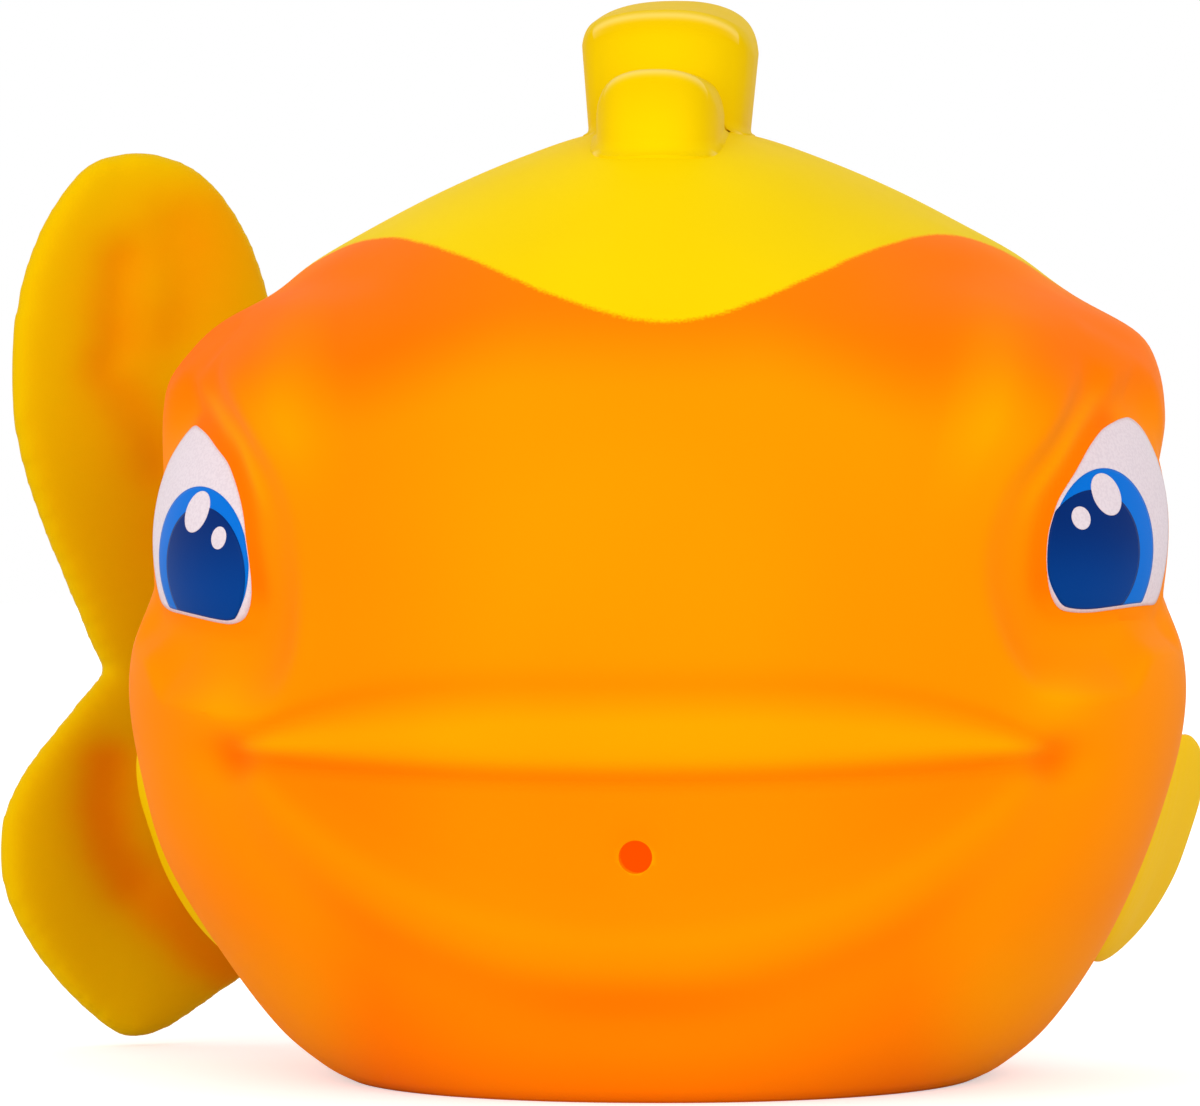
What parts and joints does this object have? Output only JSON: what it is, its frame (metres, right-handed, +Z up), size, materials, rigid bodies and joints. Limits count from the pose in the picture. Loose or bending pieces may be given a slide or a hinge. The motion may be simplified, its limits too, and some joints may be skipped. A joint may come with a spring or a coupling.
{
  "type": "squeaky bath toy",
  "caption": "Hollow soft vinyl fish bath toy with a squirt hole in its smile, a flexing two-lobed tail and a reed squeaker in its flat base.",
  "frame": {"origin": "centre of the flat base, on the surface that the toy stands on", "axes": "+Z up through the crown, -Y towards the nose, +X to the fish's own left, which is the viewer's right"},
  "size_m": [0.087, 0.0754, 0.0756],
  "materials": {
    "orange_vinyl": "satin sprayed soft vinyl",
    "yellow_vinyl": "satin sprayed soft vinyl",
    "eye_white_print": "pad print",
    "iris_print": "pad print",
    "pupil_print": "pad print",
    "glint_print": "pad print",
    "squeaker_plastic": "moulded polyethylene",
    "reed_film": "thin plastic strip"
  },
  "bodies": {
    "body": {"body_shell": "orange_vinyl", "back_shell": "yellow_vinyl", "dorsal_fin": "yellow_vinyl", "left_side_fin": "yellow_vinyl", "right_side_fin": "yellow_vinyl", "left_eye_white": "eye_white_print", "right_eye_white": "eye_white_print", "left_eye_iris": "iris_print", "right_eye_iris": "iris_print", "left_eye_pupil": "pupil_print", "right_eye_pupil": "pupil_print", "left_eye_glints": "glint_print", "right_eye_glints": "glint_print", "squeaker_cup": "squeaker_plastic", "squeaker_cover": "squeaker_plastic", "reed_block": "squeaker_plastic", "reed_clamp": "squeaker_plastic"},
    "tail": {"tail_fin": "yellow_vinyl"},
    "reed": {"squeaker_reed": "reed_film"}
  },
  "joints": [
    {"name": "tail_flex", "type": "hinge", "parent": "body", "child": "tail", "pos_m": [-0.004, 0.042, 0.031], "axis": [0, 0, 1], "range_deg": [-10, 10], "stiffness_Nm_per_rad": 0.05},
    {"name": "reed_flex", "type": "hinge", "parent": "body", "child": "reed", "pos_m": [0, -0.00106, 0.00552], "axis": [1, 0, 0], "range_deg": [-4, 1.2], "stiffness_Nm_per_rad": 0.00002}
  ]
}
